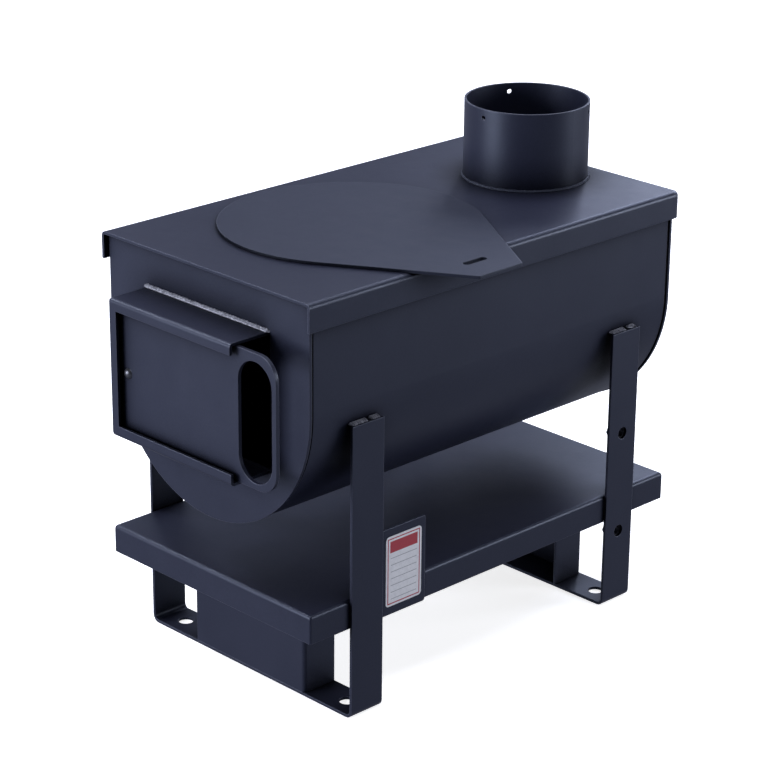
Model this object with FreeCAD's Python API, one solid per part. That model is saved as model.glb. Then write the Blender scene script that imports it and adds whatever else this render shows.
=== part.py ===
"""Wood burning stove in folded and welded sheet steel.

Millimetres, +Z up. X is the width, the door is at -Y, and the floor is z = 0.
Each function returns the solid or solids of one named piece, with y measured
back from the front edge of the top plate. Saving a piece moves the origin to the floor midway
between the four floor holes.
"""
import os
from math import cos, radians, sin, sqrt

import FreeCAD, Part
from FreeCAD import Vector

# Body
DRUM_R = 142.5          # outer radius of the half-round bottom, and half the width above it
DRUM_Z = 325.5          # height of the centre of the half round
DRUM_SHEET = 2.5
DRUM_TOP = 436.0        # where the top plate rests
END_R = 143.5           # the end plates stand just proud of the drum
END_SHEET = 3.0
END_TOP = 435.0         # the end plates stop below the top plate's bend
BODY_Y0 = 5.0           # over both end plates
BODY_Y1 = 512.5
SEAM = 2.6              # groove between an end plate and the drum, with the weld sunk in it
SEAM_R = 140.8

# Top plate
TOP_W = 298.0
TOP_L = 519.0
TOP_Z = 439.0
TOP_SHEET = 3.0
TOP_FLANGE = 28.0
TOP_BEND = 5.0
TOP_CORNER = 9.0

# Flue collar
FLUE_Y = 443.5
FLUE_OD = 130.0
FLUE_SHEET = 2.0
FLUE_H = 81.5
FLUE_SCREW_D = 5.0
FLUE_SCREW_DROP = 9.0
FLUE_HOLE_R = 61.0

# Cooking hole and its loose lid
LID_Y = 193.0
LID_R = 132.0
LID_SHEET = 3.0
LID_TAIL_X = 203.0
LID_TAIL_HALF = 29.0
LID_SLOT_X = 169.0
LID_SLOT_L = 30.0
LID_SLOT_W = 8.0
COOK_HOLE_R = 100.0
RING_R = 97.0
RING_SHEET = 2.5
RING_DEPTH = 14.0

# Door frame, feed opening and sliding door
FRAME_X0 = -88.5
FRAME_X1 = 88.0
FRAME_Z0 = 254.5
FRAME_Z1 = 396.0
FRAME_Y = -43.0
FRAME_SHEET = 3.0
FRAME_BEND = 4.0
LIP_TOP = 11.5
LIP_BOTTOM = 12.0
LIP_LEFT = 12.0
FEED_X1 = 90.0          # the feed opening reaches a little past the open end of the frame
GUIDE_GAP = 0.5
GUIDE_T = 3.0
GUIDE_H = 8.0
DOOR_X0 = -83.0
DOOR_X1 = 142.3
DOOR_Z0 = 258.0
DOOR_Z1 = 392.3
DOOR_Y0 = -35.3
DOOR_T = 4.0
DOOR_CORNER = 23.0
GRIP_X = 113.7
GRIP_Z = 324.0
GRIP_W = 46.5
GRIP_H = 120.0
STOP_X = -68.9
STOP_Z = 321.5
STOP_HEAD_R = 5.5
STOP_HEAD_H = 3.4
STOP_SHANK_R = 3.0
STOP_NUT_AF = 10.0
STOP_NUT_T = 5.0
STOP_REACH = 7.0        # how far the bolt reaches into the feed opening

# Leg frames
LEG_OUT = 150.0
LEG_SHEET = 3.0
LEG_W = 41.0
LEG_BEND = 8.0
LEG_TOP = 306.0
LEG_FRONT_Y = 53.5
LEG_REAR_Y = 420.0
FLOOR_HOLE_X = 122.0
FLOOR_HOLE_D = 16.0
SIDE_HOLE_D = 13.0
SIDE_HOLE_Z = (82.0, 193.0)
LEG_NUT_AF = 19.0
LEG_NUT_T = 10.0
LEG_NUT_R = 5.1         # minor radius of the M12 thread
LEG_BEAD_Z = 3.4

CENTRE_Y = (LEG_FRONT_Y + LEG_REAR_Y + LEG_W) / 2

# Folded supports between a base strap and the tray
BRACKET_HALF = 82.0
BRACKET_SHEET = 2.5
BRACKET_BEND = 4.0

# Heat-shield tray
TRAY_HALF = 146.5
TRAY_Y0 = 2.5
TRAY_Y1 = 514.0
TRAY_Z = 126.5
TRAY_FLANGE = 29.5
TRAY_SHEET = 2.0
TRAY_BEND = 4.0

# Label plate behind the front right leg
PLATE_T = 2.0
PLATE_L = 58.5
PLATE_Z0 = 95.5
PLATE_Z1 = 187.0
CARD_T = 0.4
CARD_L = 48.0
CARD_H = 74.0

# Baffle over the fire
BAFFLE_Z = 386.0
BAFFLE_T = 3.0
BAFFLE_HALF = 138.0
BAFFLE_Y0 = 305.0
BAFFLE_Y1 = 508.5
SHELF_W = 18.0
SHELF_T = 2.5


def box(x0, x1, y0, y1, z0, z1):
    """Return a box between two corners."""
    return Part.makeBox(x1 - x0, y1 - y0, z1 - z0, Vector(x0, y0, z0))


def tube_z(x, y, z0, z1, radius):
    """Return an upright cylinder."""
    return Part.makeCylinder(radius, z1 - z0, Vector(x, y, z0))


def prism(points, direction):
    """Extrude a closed polygon."""
    loop = [Vector(*p) for p in points]
    return Part.Face(Part.makePolygon(loop + loop[:1])).extrude(Vector(*direction))


def edges_where(shape, test):
    """Return the edges whose ends both pass a test."""
    return [e for e in shape.Edges if all(test(v.Point) for v in e.Vertexes)]


def near(a, b):
    return abs(a - b) < 1e-4


def u_outline(radius, y0, y1, top):
    """Return a solid with a half-round bottom and straight sides."""
    low = Part.makeCylinder(radius, y1 - y0, Vector(0, y0, DRUM_Z), Vector(0, 1, 0))
    high = box(-radius, radius, y0, y1, DRUM_Z, top)
    low = low.cut(box(-radius, radius, y0, y1, DRUM_Z, DRUM_Z + radius + 1))
    return low.fuse(high).removeSplitter()


def drum_shell():
    y0 = BODY_Y0 + END_SHEET + SEAM
    y1 = BODY_Y1 - END_SHEET - SEAM
    outer = u_outline(DRUM_R, y0, y1, DRUM_TOP)
    inner = u_outline(DRUM_R - DRUM_SHEET, y0 - 1, y1 + 1, DRUM_TOP + 5)
    return outer.cut(inner)


def seam_weld(y0):
    """Return the weld that joins an end plate to the drum, sunk below both edges."""
    outer = u_outline(SEAM_R, y0, y0 + SEAM, END_TOP)
    return outer.cut(u_outline(DRUM_R - DRUM_SHEET - 1, y0 - 1, y0 + SEAM + 1, END_TOP + 5))


def front_plate():
    back = BODY_Y0 + END_SHEET
    plate = u_outline(END_R, BODY_Y0, back, END_TOP)
    t = FRAME_SHEET
    feed = box(FRAME_X0 + t, FEED_X1, BODY_Y0 - 1, back + 1, FRAME_Z0 + t, FRAME_Z1 - t)
    return plate.cut(feed)


def rear_plate():
    return u_outline(END_R, BODY_Y1 - END_SHEET, BODY_Y1, END_TOP)


def top_plate():
    half = TOP_W / 2
    z0 = TOP_Z - TOP_FLANGE
    outer = box(-half, half, 0, TOP_L, z0, TOP_Z)
    corners = edges_where(outer, lambda p: near(p.y, TOP_L))
    corners = [e for e in corners if near(e.Vertexes[0].X, e.Vertexes[1].X)]
    outer = outer.makeFillet(TOP_CORNER, corners)
    rims = [e for e in outer.Edges
            if all(near(v.Z, TOP_Z) for v in e.Vertexes) and not all(near(v.Y, 0) for v in e.Vertexes)]
    outer = outer.makeFillet(TOP_BEND, rims)
    w = half - TOP_SHEET
    inner = box(-w, w, -1, TOP_L - TOP_SHEET, z0 - 1, TOP_Z - TOP_SHEET)
    corners = edges_where(inner, lambda p: near(p.y, TOP_L - TOP_SHEET))
    corners = [e for e in corners if near(e.Vertexes[0].X, e.Vertexes[1].X)]
    inner = inner.makeFillet(TOP_CORNER - TOP_SHEET, corners)
    rims = [e for e in inner.Edges
            if all(near(v.Z, TOP_Z - TOP_SHEET) for v in e.Vertexes)
            and not all(near(v.Y, -1) for v in e.Vertexes)]
    inner = inner.makeFillet(TOP_BEND - TOP_SHEET, rims)
    plate = outer.cut(inner)
    plate = plate.cut(tube_z(0, FLUE_Y, TOP_Z - 10, TOP_Z + 10, FLUE_HOLE_R))
    return plate.cut(tube_z(0, LID_Y, TOP_Z - 10, TOP_Z + 10, COOK_HOLE_R))


def flue_collar():
    radius = FLUE_OD / 2
    collar = tube_z(0, FLUE_Y, TOP_Z, TOP_Z + FLUE_H, radius)
    collar = collar.cut(tube_z(0, FLUE_Y, TOP_Z - 1, TOP_Z + FLUE_H + 1, radius - FLUE_SHEET))
    for angle in (30, 150, 270):
        way = Vector(cos(radians(angle)), sin(radians(angle)), 0)
        start = Vector(0, FLUE_Y, TOP_Z + FLUE_H - FLUE_SCREW_DROP) + way * (radius - 10)
        collar = collar.cut(Part.makeCylinder(FLUE_SCREW_D / 2, 20, start, way))
    return collar


def flue_weld():
    r = FLUE_OD / 2
    y = FLUE_Y
    section = [(r, y, TOP_Z), (r + 4.5, y, TOP_Z), (r + 3.2, y, TOP_Z + 2.4),
               (r + 1.6, y, TOP_Z + 3.8), (r, y, TOP_Z + 4.5)]
    loop = [Vector(*p) for p in section]
    face = Part.Face(Part.makePolygon(loop + loop[:1]))
    return face.revolve(Vector(0, y, 0), Vector(0, 0, 1), 360)


def lid_outline(z0, z1):
    """Return the teardrop: a disc drawn out along its tangents to a short straight end."""
    reach = sqrt(LID_TAIL_X ** 2 + LID_TAIL_HALF ** 2)
    tilt = sqrt(1 - (LID_R / reach) ** 2)
    ux = LID_TAIL_X / reach
    uy = LID_TAIL_HALF / reach
    c = LID_R / reach
    tx = LID_R * (c * ux - tilt * uy)
    ty = LID_R * (c * uy + tilt * ux)
    tail = prism([(0, LID_Y, z0), (tx, LID_Y - ty, z0), (LID_TAIL_X, LID_Y - LID_TAIL_HALF, z0),
                  (LID_TAIL_X, LID_Y + LID_TAIL_HALF, z0), (tx, LID_Y + ty, z0)], (0, 0, z1 - z0))
    return tube_z(0, LID_Y, z0, z1, LID_R).fuse(tail).removeSplitter()


def cooking_lid():
    plate = lid_outline(TOP_Z, TOP_Z + LID_SHEET)
    run = (LID_SLOT_L - LID_SLOT_W) / 2
    r = LID_SLOT_W / 2
    slot = box(LID_SLOT_X - r, LID_SLOT_X + r, LID_Y - run, LID_Y + run, TOP_Z - 1, TOP_Z + 10)
    for side in (-1, 1):
        slot = slot.fuse(tube_z(LID_SLOT_X, LID_Y + side * run, TOP_Z - 1, TOP_Z + 10, r))
    tips = [e for e in plate.Edges
            if all(near(v.X, LID_TAIL_X) for v in e.Vertexes) and near(e.Length, LID_SHEET)]
    plate = plate.makeFillet(3.0, tips)
    return plate.cut(slot)


def lid_locating_ring():
    z0 = TOP_Z - RING_DEPTH
    ring = tube_z(0, LID_Y, z0, TOP_Z, RING_R)
    return ring.cut(tube_z(0, LID_Y, z0 - 1, TOP_Z + 1, RING_R - RING_SHEET))


def door_frame():
    """Return the channel: top, left and bottom walls with lips turned in, open to the right."""
    t = FRAME_SHEET
    outer = box(FRAME_X0, FRAME_X1, FRAME_Y, BODY_Y0, FRAME_Z0, FRAME_Z1)
    turned = edges_where(outer, lambda p: near(p.y, FRAME_Y))
    turned = [e for e in turned if not all(near(v.X, FRAME_X1) for v in e.Vertexes)]
    back = [e for e in outer.Edges if near(e.Vertexes[0].X, FRAME_X0) and near(e.Vertexes[1].X, FRAME_X0)
            and near(e.Vertexes[0].Z, e.Vertexes[1].Z)]
    outer = outer.makeFillet(FRAME_BEND, turned + back)
    hollow = box(FRAME_X0 + t, FRAME_X1 + 1, FRAME_Y + t, BODY_Y0 + 1, FRAME_Z0 + t, FRAME_Z1 - t)
    window = box(FRAME_X0 + LIP_LEFT, FRAME_X1 + 1, FRAME_Y - 1, FRAME_Y + t + 1,
                 FRAME_Z0 + LIP_BOTTOM, FRAME_Z1 - LIP_TOP)
    return outer.cut(hollow).cut(window)


def door_guides():
    """Return the two strips inside the frame that hold the door forward, against the lips."""
    y0 = DOOR_Y0 + DOOR_T + GUIDE_GAP
    x0 = FRAME_X0 + FRAME_SHEET
    low = FRAME_Z0 + FRAME_SHEET
    high = FRAME_Z1 - FRAME_SHEET
    return [box(x0, FRAME_X1 - 2, y0, y0 + GUIDE_T, low, low + GUIDE_H),
            box(x0, FRAME_X1 - 2, y0, y0 + GUIDE_T, high - GUIDE_H, high)]


def frame_weld():
    z = FRAME_Z1
    y = BODY_Y0
    x0 = FRAME_X0 - 3
    section = [(x0, y, z), (x0, y - 3.0, z), (x0, y - 2.6, z + 1.7), (x0, y - 1.4, z + 2.8), (x0, y, z + 3.2)]
    return prism(section, (FRAME_X1 - FRAME_X0 + 6, 0, 0))


def sliding_door():
    door = box(DOOR_X0, DOOR_X1, DOOR_Y0, DOOR_Y0 + DOOR_T, DOOR_Z0, DOOR_Z1)
    ends = [e for e in door.Edges if near(e.Length, DOOR_T) and near(e.Vertexes[0].X, DOOR_X1)]
    door = door.makeFillet(DOOR_CORNER, ends)
    r = GRIP_W / 2
    run = (GRIP_H - GRIP_W) / 2
    grip = box(GRIP_X - r, GRIP_X + r, DOOR_Y0 - 1, DOOR_Y0 + DOOR_T + 1, GRIP_Z - run, GRIP_Z + run)
    for side in (-1, 1):
        centre = Vector(GRIP_X, DOOR_Y0 - 1, GRIP_Z + side * run)
        grip = grip.fuse(Part.makeCylinder(r, DOOR_T + 2, centre, Vector(0, 1, 0)))
    hole = Part.makeCylinder(STOP_SHANK_R + 0.05, 20, Vector(STOP_X, DOOR_Y0 - 5, STOP_Z), Vector(0, 1, 0))
    return door.cut(grip).cut(hole)


def door_stop_bolt():
    """Return a round-headed bolt, long enough to meet the end of the feed opening as the door draws out."""
    ball = (STOP_HEAD_R ** 2 + STOP_HEAD_H ** 2) / (2 * STOP_HEAD_H)
    centre = Vector(STOP_X, DOOR_Y0 - STOP_HEAD_H + ball, STOP_Z)
    head = Part.makeSphere(ball, centre)
    keep = Part.makeCylinder(STOP_HEAD_R, STOP_HEAD_H, Vector(STOP_X, DOOR_Y0, STOP_Z), Vector(0, -1, 0))
    length = BODY_Y0 + STOP_REACH - DOOR_Y0
    shank = Part.makeCylinder(STOP_SHANK_R, length, Vector(STOP_X, DOOR_Y0, STOP_Z), Vector(0, 1, 0))
    return head.common(keep).fuse(shank).removeSplitter()


def door_stop_nut():
    corner = STOP_NUT_AF / 2 / cos(radians(30))
    y = DOOR_Y0 + DOOR_T
    points = []
    for i in range(6):
        a = radians(30 + 60 * i)
        points.append((STOP_X + corner * cos(a), y, STOP_Z + corner * sin(a)))
    nut = prism(points, (0, STOP_NUT_T, 0))
    return nut.cut(Part.makeCylinder(STOP_SHANK_R + 0.05, 20, Vector(STOP_X, y - 5, STOP_Z), Vector(0, 1, 0)))


def leg_frame(y0, side_holes):
    """Return a flat strap bent into a U: two uprights and a base with two floor holes."""
    t = LEG_SHEET
    outer = box(-LEG_OUT, LEG_OUT, y0, y0 + LEG_W, 0, LEG_TOP)
    low = [e for e in outer.Edges if near(e.Length, LEG_W) and near(e.Vertexes[0].Z, 0)]
    outer = outer.makeFillet(LEG_BEND, low)
    inner = box(-LEG_OUT + t, LEG_OUT - t, y0 - 1, y0 + LEG_W + 1, t, LEG_TOP + 1)
    low = [e for e in inner.Edges if near(e.Length, LEG_W + 2) and near(e.Vertexes[0].Z, t)]
    inner = inner.makeFillet(LEG_BEND - t, low)
    strap = outer.cut(inner)
    mid = y0 + LEG_W / 2
    for side in (-1, 1):
        strap = strap.cut(tube_z(side * FLOOR_HOLE_X, mid, -1, t + 1, FLOOR_HOLE_D / 2))
    for z in side_holes:
        centre = Vector(LEG_OUT - 10, mid, z)
        strap = strap.cut(Part.makeCylinder(SIDE_HOLE_D / 2, 20, centre, Vector(1, 0, 0)))
    return strap


def leg_welds(y0):
    """Return the two beads that join the tops of a leg frame to the drum."""
    beads = []
    z = LEG_TOP
    for side in (-1, 1):
        section = [(side * DRUM_R, y0 + 1, z), (side * (LEG_OUT - 0.5), y0 + 1, z),
                   (side * (LEG_OUT - 2.5), y0 + 1, z + LEG_BEAD_Z * 0.6), (side * DRUM_R, y0 + 1, z + LEG_BEAD_Z)]
        beads.append(prism(section, (0, LEG_W - 2, 0)))
    return beads


def leg_nuts():
    """Return the weld nuts inside the rear right leg, one behind each side hole."""
    corner = LEG_NUT_AF / 2 / cos(radians(30))
    x = LEG_OUT - LEG_SHEET
    mid = LEG_REAR_Y + LEG_W / 2
    nuts = []
    for z in SIDE_HOLE_Z:
        points = [(x, mid + corner * cos(radians(60 * i)), z + corner * sin(radians(60 * i))) for i in range(6)]
        nut = prism(points, (-LEG_NUT_T, 0, 0))
        bore = Part.makeCylinder(LEG_NUT_R, LEG_NUT_T + 2, Vector(x + 1, mid, z), Vector(-1, 0, 0))
        nuts.append(nut.cut(bore))
    return nuts


def support_bracket(y0, opens_forward):
    """Return a panel across the stove with both ends turned back."""
    t = BRACKET_SHEET
    top = TRAY_Z - TRAY_SHEET
    half = BRACKET_HALF
    outer = box(-half, half, y0, y0 + LEG_W, LEG_SHEET, top)
    face_y = y0 + LEG_W if opens_forward else y0
    folds = [e for e in outer.Edges if near(e.Length, top - LEG_SHEET) and near(e.Vertexes[0].Y, face_y)]
    outer = outer.makeFillet(BRACKET_BEND, folds)
    if opens_forward:
        inner = box(-half + t, half - t, y0 - 1, y0 + LEG_W - t, LEG_SHEET - 1, top + 1)
    else:
        inner = box(-half + t, half - t, y0 + t, y0 + LEG_W + 1, LEG_SHEET - 1, top + 1)
    return outer.cut(inner)


def heat_shield_tray():
    """Return a shallow pan turned upside down."""
    t = TRAY_SHEET
    z0 = TRAY_Z - TRAY_FLANGE
    outer = box(-TRAY_HALF, TRAY_HALF, TRAY_Y0, TRAY_Y1, z0, TRAY_Z)
    posts = [e for e in outer.Edges if near(e.Length, TRAY_FLANGE)]
    outer = outer.makeFillet(2.0, posts)
    rims = edges_where(outer, lambda p: near(p.z, TRAY_Z))
    outer = outer.makeFillet(TRAY_BEND, rims)
    w = TRAY_HALF - t
    inner = box(-w, w, TRAY_Y0 + t, TRAY_Y1 - t, z0 - 1, TRAY_Z - t)
    rims = edges_where(inner, lambda p: near(p.z, TRAY_Z - t))
    inner = inner.makeFillet(TRAY_BEND - t, rims)
    return outer.cut(inner)


def label_plate():
    y0 = LEG_FRONT_Y + LEG_W
    plate = box(TRAY_HALF, TRAY_HALF + PLATE_T, y0, y0 + PLATE_L, PLATE_Z0, PLATE_Z1)
    tips = [e for e in plate.Edges if near(e.Length, PLATE_T) and near(e.Vertexes[0].Y, y0 + PLATE_L)]
    return plate.makeFillet(2.5, tips)


def label_card():
    """Return a blank data card with rounded corners."""
    y0 = LEG_FRONT_Y + LEG_W + 5
    z0 = (PLATE_Z0 + PLATE_Z1 - CARD_H) / 2
    x0 = TRAY_HALF + PLATE_T
    card = box(x0, x0 + CARD_T, y0, y0 + CARD_L, z0, z0 + CARD_H)
    tips = [e for e in card.Edges if near(e.Length, CARD_T)]
    return card.makeFillet(4.0, tips)


def baffle_plate():
    return box(-BAFFLE_HALF, BAFFLE_HALF, BAFFLE_Y0, BAFFLE_Y1, BAFFLE_Z, BAFFLE_Z + BAFFLE_T)


def baffle_shelves():
    """Return the two angle strips welded inside the drum that carry the baffle."""
    wall = DRUM_R - DRUM_SHEET
    shelves = []
    for side in (-1, 1):
        a = side * wall
        b = side * (wall - SHELF_W)
        x0 = min(a, b)
        flat = box(x0, x0 + SHELF_W, BAFFLE_Y0, BAFFLE_Y1 - 20, BAFFLE_Z - SHELF_T, BAFFLE_Z)
        x0 = wall - SHELF_T if side > 0 else -wall
        leaf = box(x0, x0 + SHELF_T, BAFFLE_Y0, BAFFLE_Y1 - 20, BAFFLE_Z - SHELF_W, BAFFLE_Z)
        shelves.append(flat.fuse(leaf).removeSplitter())
    return shelves


def save(name, shape):
    """Write one piece, or one group of separate solids, to its own file."""
    if isinstance(shape, list):
        shape = Part.makeCompound(shape)
    shape.translate(Vector(0, -CENTRE_Y, 0))
    shape.exportStep("parts/" + name + ".step")


def main():
    os.makedirs("parts", exist_ok=True)
    save("drum_shell", drum_shell())
    save("front_plate", front_plate())
    save("rear_plate", rear_plate())
    save("front_seam_weld", seam_weld(BODY_Y0 + END_SHEET))
    save("rear_seam_weld", seam_weld(BODY_Y1 - END_SHEET - SEAM))
    save("top_plate", top_plate())
    save("flue_collar", flue_collar())
    save("flue_weld", flue_weld())
    save("cooking_lid", cooking_lid())
    save("lid_locating_ring", lid_locating_ring())
    save("door_frame", door_frame())
    save("door_guides", door_guides())
    save("frame_weld", frame_weld())
    save("sliding_door", sliding_door())
    save("door_stop_bolt", door_stop_bolt())
    save("door_stop_nut", door_stop_nut())
    save("front_leg_frame", leg_frame(LEG_FRONT_Y, ()))
    save("rear_leg_frame", leg_frame(LEG_REAR_Y, SIDE_HOLE_Z))
    save("front_leg_welds", leg_welds(LEG_FRONT_Y))
    save("rear_leg_welds", leg_welds(LEG_REAR_Y))
    save("rear_leg_nuts", leg_nuts())
    save("front_support_bracket", support_bracket(LEG_FRONT_Y, False))
    save("rear_support_bracket", support_bracket(LEG_REAR_Y, True))
    save("heat_shield_tray", heat_shield_tray())
    save("label_plate", label_plate())
    save("label_card", label_card())
    save("baffle_plate", baffle_plate())
    save("baffle_shelves", baffle_shelves())


main()
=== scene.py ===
"""Look of the wood burning stove: painted sheet steel, weld beads, data card, studio light."""
from math import cos, pi, radians, sin

import bmesh
import bpy
from mathutils import Matrix, Vector


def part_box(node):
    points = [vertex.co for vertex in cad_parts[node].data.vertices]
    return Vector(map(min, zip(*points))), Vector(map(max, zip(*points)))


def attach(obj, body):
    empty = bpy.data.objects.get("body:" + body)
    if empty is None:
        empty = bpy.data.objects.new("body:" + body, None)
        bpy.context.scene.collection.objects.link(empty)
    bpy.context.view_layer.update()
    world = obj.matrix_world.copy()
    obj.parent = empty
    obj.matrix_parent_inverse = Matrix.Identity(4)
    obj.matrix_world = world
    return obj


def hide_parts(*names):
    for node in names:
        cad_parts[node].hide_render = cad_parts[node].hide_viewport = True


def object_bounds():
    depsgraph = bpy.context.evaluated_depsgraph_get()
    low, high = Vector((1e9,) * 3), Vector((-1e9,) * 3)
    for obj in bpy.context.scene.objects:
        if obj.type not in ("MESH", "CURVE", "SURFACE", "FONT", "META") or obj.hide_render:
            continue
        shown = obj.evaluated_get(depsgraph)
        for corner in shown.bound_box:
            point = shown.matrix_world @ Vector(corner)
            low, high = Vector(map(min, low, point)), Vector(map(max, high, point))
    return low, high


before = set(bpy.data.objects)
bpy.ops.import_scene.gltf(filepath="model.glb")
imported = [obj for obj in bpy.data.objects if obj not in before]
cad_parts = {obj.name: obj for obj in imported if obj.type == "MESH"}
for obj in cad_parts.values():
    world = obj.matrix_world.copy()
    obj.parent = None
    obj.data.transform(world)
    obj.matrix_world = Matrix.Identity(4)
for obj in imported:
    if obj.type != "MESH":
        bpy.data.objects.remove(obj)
CAD_BOX = [list(c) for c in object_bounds()]
BODY = "stove_body"
X, Y, Z = (1, 0, 0), (0, 1, 0), (0, 0, 1)


# ---------------------------------------------------------------- materials
EDGE_RADIUS = 0.0012
# Reach and depth of the painted shade where faces meet.
SHADE_REACH, SHADE_DEPTH = 0.04, 0.12


def new_material(name):
    mat = bpy.data.materials.new(name)
    mat.use_nodes = True
    tree = mat.node_tree
    return mat, tree, tree.nodes["Principled BSDF"]


def noise(tree, scale, detail=3.0, rough=0.55):
    """Return a noise texture in object space."""
    coord = tree.nodes.new("ShaderNodeTexCoord")
    tex = tree.nodes.new("ShaderNodeTexNoise")
    tex.inputs["Scale"].default_value = scale
    tex.inputs["Detail"].default_value = detail
    tex.inputs["Roughness"].default_value = rough
    tree.links.new(coord.outputs["Object"], tex.inputs["Vector"])
    return tex


def ramp(tree, source, start, end):
    """Blend two colours over source; start and end are each a place and its colour."""
    node = tree.nodes.new("ShaderNodeValToRGB")
    for element, (place, colour) in zip(node.color_ramp.elements, (start, end)):
        element.position = place
        element.color = (*colour, 1)
    tree.links.new(source, node.inputs["Fac"])
    return node.outputs["Color"]


def span(tree, source, low, high):
    """Map source from 0..1 to low..high."""
    node = tree.nodes.new("ShaderNodeMapRange")
    node.inputs["To Min"].default_value = low
    node.inputs["To Max"].default_value = high
    tree.links.new(source, node.inputs["Value"])
    return node.outputs["Result"]


def bump(tree, source, strength, distance, normal=None):
    node = tree.nodes.new("ShaderNodeBump")
    node.inputs["Strength"].default_value = strength
    node.inputs["Distance"].default_value = distance
    tree.links.new(source, node.inputs["Height"])
    if normal is not None:
        tree.links.new(normal, node.inputs["Normal"])
    return node.outputs["Normal"]


def fade(tree, source, start, end, low, high):
    """Map source from start..end to low..high, held at both ends."""
    node = tree.nodes.new("ShaderNodeMapRange")
    for name, value in (("From Min", start), ("From Max", end), ("To Min", low), ("To Max", high)):
        node.inputs[name].default_value = value
    tree.links.new(source, node.inputs["Value"])
    return node.outputs["Result"]


def mixed(tree, blend, factor, a, b):
    """Mix two colours; factor, a and b are each a socket or a plain value."""
    node = tree.nodes.new("ShaderNodeMix")
    node.data_type = "RGBA"
    node.blend_type = blend
    for name, value in (("Factor", factor), ("A", a), ("B", b)):
        if isinstance(value, bpy.types.NodeSocket):
            tree.links.new(value, node.inputs[name])
        elif name == "Factor":
            node.inputs[name].default_value = value
        else:
            node.inputs[name].default_value = (*value, 1)
    return node.outputs["Result"]


def rounded(tree, radius):
    """Normal with cut edges and folds rounded over, and a mask that is 1 along them."""
    round_over = tree.nodes.new("ShaderNodeBevel")
    round_over.samples = 6
    round_over.inputs["Radius"].default_value = radius
    geometry = tree.nodes.new("ShaderNodeNewGeometry")
    dot = tree.nodes.new("ShaderNodeVectorMath")
    dot.operation = "DOT_PRODUCT"
    tree.links.new(round_over.outputs["Normal"], dot.inputs[0])
    tree.links.new(geometry.outputs["Normal"], dot.inputs[1])
    return round_over.outputs["Normal"], fade(tree, dot.outputs["Value"], 0.99, 0.86, 0, 1)


def painted_corner_shade(tree, reach, floor):
    """Painted shade from ambient occlusion, darker where faces meet: 1 in the open, floor in a corner."""
    node = tree.nodes.new("ShaderNodeAmbientOcclusion")
    node.samples = 6
    node.inputs["Distance"].default_value = reach
    return fade(tree, node.outputs["AO"], 0.48, 0.96, floor, 1)


def painted_steel(name, dark, light, edge_highlight, rough=(0.34, 0.46), grain=0.25):
    """Matte heat-resistant paint: fine grain over slightly uneven sheet, with a painted highlight along
    the edges and painted shade where faces meet.
    """
    mat, tree, shader = new_material(name)
    cloud = noise(tree, 9.0, 4.0, 0.6)
    speck = noise(tree, 520.0, 3.0, 0.7)
    normal, edge = rounded(tree, EDGE_RADIUS)
    colour = ramp(tree, cloud.outputs["Fac"], (0.3, dark), (0.7, light))
    speckle = ramp(tree, speck.outputs["Fac"], (0.35, (0.82, 0.82, 0.82)), (0.65, (1, 1, 1)))
    colour = mixed(tree, "MULTIPLY", 1.0, colour, speckle)
    # Painted highlight: the colour goes lighter along cut edges and folds.
    colour = mixed(tree, "MIX", edge, colour, edge_highlight)
    # Painted shade: the colour is darkened where faces meet.
    shade = painted_corner_shade(tree, SHADE_REACH, SHADE_DEPTH)
    colour = mixed(tree, "MULTIPLY", 1.0, colour, ramp(tree, shade, (0, (0, 0, 0)), (1, (1, 1, 1))))
    tree.links.new(colour, shader.inputs["Base Color"])
    patch = noise(tree, 38.0, 5.0, 0.65)
    tree.links.new(span(tree, patch.outputs["Fac"], *rough), shader.inputs["Roughness"])
    fine = noise(tree, 1500.0, 2.0, 0.6)
    peel = noise(tree, 260.0, 2.0, 0.5)
    wave = noise(tree, 7.0, 1.0, 0.4)
    normal = bump(tree, wave.outputs["Fac"], 0.25, 0.003, normal)
    normal = bump(tree, peel.outputs["Fac"], grain * 0.6, 0.00025, normal)
    normal = bump(tree, fine.outputs["Fac"], grain, 0.00012, normal)
    tree.links.new(normal, shader.inputs["Normal"])
    # Painted shade: the gloss is lowered where faces meet.
    tree.links.new(fade(tree, shade, SHADE_DEPTH, 1, 0.04, 0.45), shader.inputs["Specular IOR Level"])
    shader.inputs["Specular Tint"].default_value = (0.72, 0.82, 1.0, 1)
    return mat


def weld_metal(name, dark, light):
    """Painted weld: the same paint, thinner and shinier on the ripples; its light blotches are painted
    glints.
    """
    mat, tree, shader = new_material(name)
    blotch = noise(tree, 240.0, 4.0, 0.65)
    colour = ramp(tree, blotch.outputs["Fac"], (0.3, dark), (0.68, light))
    tree.links.new(colour, shader.inputs["Base Color"])
    tree.links.new(span(tree, blotch.outputs["Fac"], 0.28, 0.5), shader.inputs["Roughness"])
    fine = noise(tree, 1100.0, 3.0, 0.6)
    tree.links.new(bump(tree, fine.outputs["Fac"], 0.35, 0.0002), shader.inputs["Normal"])
    shader.inputs["Metallic"].default_value = 0.35
    return mat


def bolt_metal(name, dark, light):
    """Blackened steel of bolts and nuts."""
    mat, tree, shader = new_material(name)
    blotch = noise(tree, 420.0, 4.0, 0.6)
    colour = ramp(tree, blotch.outputs["Fac"], (0.3, dark), (0.7, light))
    tree.links.new(colour, shader.inputs["Base Color"])
    tree.links.new(span(tree, blotch.outputs["Fac"], 0.25, 0.42), shader.inputs["Roughness"])
    tree.links.new(bump(tree, blotch.outputs["Fac"], 0.3, 0.0003), shader.inputs["Normal"])
    shader.inputs["Metallic"].default_value = 0.7
    return mat


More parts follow.
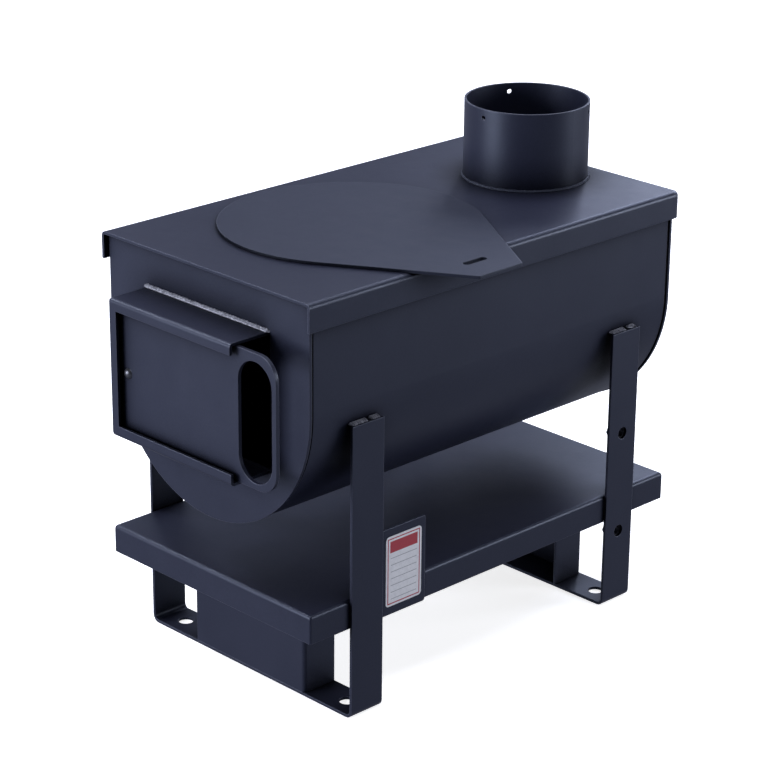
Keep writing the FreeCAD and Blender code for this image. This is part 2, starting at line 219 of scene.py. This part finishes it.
def sooty_steel(name, dark, light):
    """Bare steel near the fire, dull and nearly black; also laid in the seam grooves as painted shade."""
    mat, tree, shader = new_material(name)
    cloud = noise(tree, 26.0, 5.0, 0.65)
    colour = ramp(tree, cloud.outputs["Fac"], (0.25, dark), (0.75, light))
    tree.links.new(colour, shader.inputs["Base Color"])
    tree.links.new(span(tree, cloud.outputs["Fac"], 0.6, 0.85), shader.inputs["Roughness"])
    fine = noise(tree, 700.0, 3.0, 0.6)
    tree.links.new(bump(tree, fine.outputs["Fac"], 0.3, 0.0003), shader.inputs["Normal"])
    return mat


# Painted highlight colour for the edges of the sheet.
EDGE_HIGHLIGHT = (0.075, 0.078, 0.108)
PAINT = painted_steel("heat_paint", (0.0145, 0.0160, 0.0310), (0.0180, 0.0195, 0.0360), EDGE_HIGHLIGHT)
# The lid's paint, with a darker painted highlight along its edges.
LID_PAINT = painted_steel("lid_paint", (0.0125, 0.0140, 0.0270), (0.0160, 0.0175, 0.0320),
                          (0.042, 0.045, 0.064), rough=(0.46, 0.60), grain=0.3)
# Weld colour whose light blotches are painted glints.
GLINTING_WELD = weld_metal("glinting_weld_paint", (0.065, 0.067, 0.085), (0.33, 0.34, 0.385))
BOLT = bolt_metal("bolt_steel", (0.05, 0.052, 0.062), (0.11, 0.112, 0.13))
SOOT_AND_SHADE = sooty_steel("fire_steel", (0.006, 0.006, 0.008), (0.018, 0.018, 0.021))


CARD_RED, CARD_GREY = (0.42, 0.045, 0.06), (0.30, 0.30, 0.32)
BORDER_OUT, BORDER_IN = -0.0022, -0.0034
HEAD_HEIGHT, HEAD_EDGE = 0.0175, -0.0055
RULE_PITCH, RULE_SHARE, RULE_EDGE, RULE_TOP = 0.0072, 0.085, -0.0065, 0.021


def data_card(name, node):
    """White card with a red border and blank form lines, no lettering."""
    lo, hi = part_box(node)
    mat, tree, shader = new_material(name)
    coord = tree.nodes.new("ShaderNodeTexCoord")
    parts = tree.nodes.new("ShaderNodeSeparateXYZ")
    tree.links.new(coord.outputs["Object"], parts.inputs["Vector"])

    def math(kind, *values):
        node = tree.nodes.new("ShaderNodeMath")
        node.operation = kind
        for socket, value in zip(node.inputs, values):
            if isinstance(value, bpy.types.NodeSocket):
                tree.links.new(value, socket)
            else:
                socket.default_value = value
        return node.outputs["Value"]

    across_place, up_place = parts.outputs["Y"], parts.outputs["Z"]
    y0, y1, z0, z1 = lo[1], hi[1], lo[2], hi[2]
    across = math("ABSOLUTE", math("SUBTRACT", across_place, (y0 + y1) / 2))
    along = math("ABSOLUTE", math("SUBTRACT", up_place, (z0 + z1) / 2))
    edge = math("MAXIMUM", math("SUBTRACT", across, (y1 - y0) / 2), math("SUBTRACT", along, (z1 - z0) / 2))
    border = math("MULTIPLY", math("GREATER_THAN", edge, BORDER_IN), math("LESS_THAN", edge, BORDER_OUT))
    in_head = math("GREATER_THAN", up_place, z1 - HEAD_HEIGHT)
    head = math("MULTIPLY", math("LESS_THAN", edge, HEAD_EDGE), in_head)
    cut = math("FRACT", math("DIVIDE", math("SUBTRACT", up_place, z0), RULE_PITCH))
    rule = math("MULTIPLY", math("LESS_THAN", cut, RULE_SHARE), math("LESS_THAN", edge, RULE_EDGE))
    rule = math("MULTIPLY", rule, math("LESS_THAN", up_place, z1 - RULE_TOP))
    paper = noise(tree, 320.0, 3.0)
    colour = ramp(tree, paper.outputs["Fac"], (0.3, (0.74, 0.74, 0.745)), (0.7, (0.84, 0.84, 0.84)))
    for mask, ink in ((border, CARD_RED), (head, CARD_RED), (rule, CARD_GREY)):
        colour = mixed(tree, "MIX", mask, colour, ink)
    tree.links.new(colour, shader.inputs["Base Color"])
    tree.links.new(span(tree, paper.outputs["Fac"], 0.35, 0.5), shader.inputs["Roughness"])
    tree.links.new(bump(tree, paper.outputs["Fac"], 0.1, 0.0002), shader.inputs["Normal"])
    return mat


def give(node, mat):
    """Put one material on every slot of a CAD node."""
    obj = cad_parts[node]
    if not obj.material_slots:
        obj.data.materials.append(mat)
    for s in obj.material_slots:
        s.material = mat
    return obj


OTHER_MATERIALS = {
    "cooking_lid": LID_PAINT,
    "baffle_plate": SOOT_AND_SHADE,
    "baffle_shelves": SOOT_AND_SHADE,
    "door_guides": SOOT_AND_SHADE,
    # The seam welds get near-black steel as painted shade in their grooves.
    "front_seam_weld": SOOT_AND_SHADE,
    "rear_seam_weld": SOOT_AND_SHADE,
    "lid_locating_ring": SOOT_AND_SHADE,
    "door_stop_bolt": BOLT,
    "door_stop_nut": BOLT,
    "rear_leg_nuts": BOLT,
    "label_card": data_card("data_card", "label_card"),
}
for node_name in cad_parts:
    give(node_name, OTHER_MATERIALS.get(node_name, PAINT))

# Painted shade: near-black steel fills the grooves beside the end plates nearly to the surface, standing
# in for the shade in them.
SHADE_FILL = 0.0009
for node_name in ("front_seam_weld", "rear_seam_weld"):
    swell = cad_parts[node_name].modifiers.new("swell", "DISPLACE")
    swell.strength = SHADE_FILL
    swell.mid_level = 0


# ---------------------------------------------------------------- weld beads
def wobble(t, seed):
    """Smooth, repeatable unevenness between -1 and 1."""
    return 0.6 * sin(t * 1.7 + seed) + 0.4 * sin(t * 4.3 + 2.1 * seed)


def bead(name, corner, out, up, length, size, pitch, ring=False, seed=1.0, per=7, mat=GLINTING_WELD, depth=0.2):
    """A rippled fillet: corner(s), out(s) and up(s) give its line and the two faces it joins.

    pitch is the length of one ripple, per its number of sections and depth how far it dips.
    """
    count = max(8, int(length / pitch * per))
    arc = 9
    bm = bmesh.new()
    rows = []
    for i in range(count + (0 if ring else 1)):
        s = length * i / count
        row = []
        c, a, b = corner(s), out(s), up(s)
        taper = 1.0
        if not ring:
            taper = min(1.0, 0.35 + min(s, length - s) / (1.3 * size))
        base = size * taper * (1 + 0.09 * wobble(s / pitch, seed))
        row.append(bm.verts.new(c - (a + b) * size * 0.05))
        for j in range(arc):
            q = pi / 2 * j / (arc - 1)
            crest = sin(2 * q)
            phase = (s / pitch - 0.42 * crest + 0.13 * wobble(s / pitch * 0.31, seed + 3)) % 1.0
            ripple = 1 - depth * phase ** 1.6 * (0.35 + 0.65 * crest)
            r = base * ripple * (1 - 0.12 * crest)
            row.append(bm.verts.new(c + (a * cos(q) + b * sin(q)) * r))
        rows.append(row)
    last = len(rows) if ring else len(rows) - 1
    for i in range(last):
        one, two = rows[i], rows[(i + 1) % len(rows)]
        for j in range(len(one)):
            k = (j + 1) % len(one)
            bm.faces.new((one[j], one[k], two[k], two[j]))
    if not ring:
        bm.faces.new(rows[0])
        bm.faces.new(list(reversed(rows[-1])))
    bmesh.ops.recalc_face_normals(bm, faces=bm.faces)
    mesh = bpy.data.meshes.new(name)
    bm.to_mesh(mesh)
    bm.free()
    for poly in mesh.polygons:
        poly.use_smooth = True
    obj = bpy.data.objects.new(name, mesh)
    bpy.context.collection.objects.link(obj)
    mesh.materials.append(mat)
    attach(obj, BODY)
    return obj


def straight(start, way):
    start, way = Vector(start), Vector(way)
    return lambda s: start + way * s


def fixed(direction):
    vec = Vector(direction)
    return lambda s: vec


# Size and ripple length of each kind of bead.
FRAME_BEAD, FLUE_BEAD, LEG_BEAD = (0.0031, 0.0039), (0.0026, 0.0031), (0.0019, 0.0026)
FRAME_BEAD_INSET = 0.001
LEG_BEAD_SPREAD = 3.3
LEG_BEAD_SINK = 0.0004

lo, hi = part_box("frame_weld")
top_bead = bead("frame_bead", straight((lo[0] + FRAME_BEAD_INSET, hi[1], lo[2]), X), fixed((0, -1, 0)),
                fixed(Z), hi[0] - lo[0] - 2 * FRAME_BEAD_INSET, *FRAME_BEAD, seed=0.4, per=12, depth=0.62)
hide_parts("frame_weld")

lo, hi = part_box("flue_weld")
centre = Vector(((lo[0] + hi[0]) / 2, (lo[1] + hi[1]) / 2, lo[2]))
collar_lo, collar_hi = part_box("flue_collar")
tube = (collar_hi[1] - collar_lo[1]) / 2
round_bead = bead("flue_bead", lambda s: centre + Vector((cos(s / tube), sin(s / tube), 0)) * tube,
                  lambda s: Vector((cos(s / tube), sin(s / tube), 0)), fixed(Z),
                  2 * pi * tube, *FLUE_BEAD, ring=True, seed=2.2, per=6, mat=LID_PAINT)
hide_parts("flue_weld")

# Each leg top has one long stitch and one short one: where it begins and its share of the strap's width.
STITCHES = ((0.02, 0.56), (0.68, 0.30))
drum_lo, drum_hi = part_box("drum_shell")
for legs in ("front_leg", "rear_leg"):
    lo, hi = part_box(legs + "_welds")
    width = hi[1] - lo[1]
    for side, label in ((1, "right"), (-1, "left")):
        for part, (begin, share) in enumerate(STITCHES):
            obj = bead("%s_bead_%s_%d" % (legs, label, part + 1),
                       straight((side * (drum_hi[0] - LEG_BEAD_SINK), lo[1] + width * begin, lo[2]), Y),
                       fixed((side * LEG_BEAD_SPREAD, 0, 0)), fixed(Z), width * share, *LEG_BEAD,
                       seed=side + hi[1] * 9 + part, per=10, depth=0.6)
            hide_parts(legs + "_welds")


# ---------------------------------------------------------------- studio
FLOOR_HALF, FLAT_RADIUS, WALL_CURVE = 9, 4.5, 0.35


def studio_floor():
    """Pale floor that curves up into a wall all round, and that neither lights nor shades the stove."""
    mat, tree, shader = new_material("studio_floor")
    soft = noise(tree, 1.3, 1.0)
    pale = ramp(tree, soft.outputs["Fac"], (0.2, (0.90, 0.90, 0.90)), (0.8, (0.93, 0.93, 0.93)))
    tree.links.new(pale, shader.inputs["Base Color"])
    shader.inputs["Roughness"].default_value = 0.9
    shader.inputs["Specular IOR Level"].default_value = 0.1
    shader.inputs["Emission Color"].default_value = (1, 1, 1, 1)
    shader.inputs["Emission Strength"].default_value = 0.8
    bm = bmesh.new()
    bmesh.ops.create_grid(bm, x_segments=96, y_segments=96, size=FLOOR_HALF)
    for vert in bm.verts:
        vert.co.z = WALL_CURVE * max(0.0, vert.co.xy.length - FLAT_RADIUS) ** 2
    mesh = bpy.data.meshes.new("studio_floor")
    bm.to_mesh(mesh)
    bm.free()
    obj = bpy.data.objects.new("studio_floor", mesh)
    obj.location.z = CAD_BOX[0][2] - 0.0002
    obj.visible_diffuse = False
    obj.visible_glossy = False
    obj.visible_shadow = False
    for poly in mesh.polygons:
        poly.use_smooth = True
    bpy.context.collection.objects.link(obj)
    mesh.materials.append(mat)


def area(name, place, target, size, power, colour):
    """A soft rectangular light that the camera doesn't see."""
    data = bpy.data.lights.new(name, "AREA")
    data.shape = "RECTANGLE"
    data.size, data.size_y = size
    data.energy = power
    data.color = colour
    obj = bpy.data.objects.new(name, data)
    obj.location = place
    obj.rotation_euler = (Vector(target) - Vector(place)).to_track_quat("-Z", "Y").to_euler()
    obj.visible_camera = False
    bpy.context.collection.objects.link(obj)


def low_glow(strength):
    """Weak light from the pale floor and walls of the studio, fading upward."""
    world = bpy.data.worlds.new("studio")
    world.use_nodes = True
    tree = world.node_tree
    coord = tree.nodes.new("ShaderNodeTexCoord")
    parts = tree.nodes.new("ShaderNodeSeparateXYZ")
    tree.links.new(coord.outputs["Generated"], parts.inputs["Vector"])
    falloff = tree.nodes.new("ShaderNodeMapRange")
    falloff.interpolation_type = "SMOOTHSTEP"
    falloff.inputs["From Min"].default_value = -0.2
    falloff.inputs["From Max"].default_value = 0.5
    falloff.inputs["To Min"].default_value = strength
    falloff.inputs["To Max"].default_value = 0
    tree.links.new(parts.outputs["Z"], falloff.inputs["Value"])
    tree.links.new(falloff.outputs["Result"], tree.nodes["Background"].inputs["Strength"])
    tree.nodes["Background"].inputs["Color"].default_value = (0.76, 0.81, 1.0, 1)
    bpy.context.scene.world = world


studio_floor()
low_glow(0.33)
COOL, COLD = (0.86, 0.885, 1.0), (0.70, 0.765, 1.0)
area("overhead", (0, 0.2, 2.5), (0, 0, 0.4), (2.4, 2.4), 50, COOL)
area("front", (-0.9, -2.5, 0.7), (0, 0, 0.3), (1.2, 1.2), 80, COOL)
area("key", (-1.70, -0.95, 1.95), (0, 0, 0.3), (0.35, 0.35), 22, COOL)
area("left", (-2.5, 0.4, 1.3), (0, 0, 0.4), (1.6, 1.6), 11, COLD)
area("rear_right", (2.1, 2.2, 0.75), (0.1, 0.2, 0.35), (1.6, 1.0), 50, COOL)
area("back", (-0.7, 2.6, 1.7), (0, 0.1, 0.4), (2.0, 1.4), 51, COLD)
area("back_left", (-1.9, 1.9, 1.0), (0, 0, 0.4), (2.4, 1.6), 2.4, COLD)
bpy.context.scene.view_settings.view_transform = "Standard"

# ---------------------------------------------------------------- camera
AZIMUTH, ELEVATION, ROLL = 45.475, 21.242, 0.571
EYE = Vector((1.8080, -1.7866, 1.2347))
LENS = 122.93
cam_data = bpy.data.cameras.new("camera")
cam_data.sensor_width = 36
cam_data.lens = LENS
cam_data.clip_start = 0.05
cam_data.clip_end = 60
camera = bpy.data.objects.new("camera", cam_data)
bpy.context.collection.objects.link(camera)
a, e = radians(AZIMUTH), radians(ELEVATION)
look = Vector((-sin(a) * cos(e), cos(a) * cos(e), -sin(e)))
turn = look.to_track_quat("-Z", "Y").to_matrix().to_4x4()
camera.matrix_world = Matrix.Translation(EYE) @ turn @ Matrix.Rotation(radians(ROLL), 4, "Z")
bpy.context.scene.camera = camera
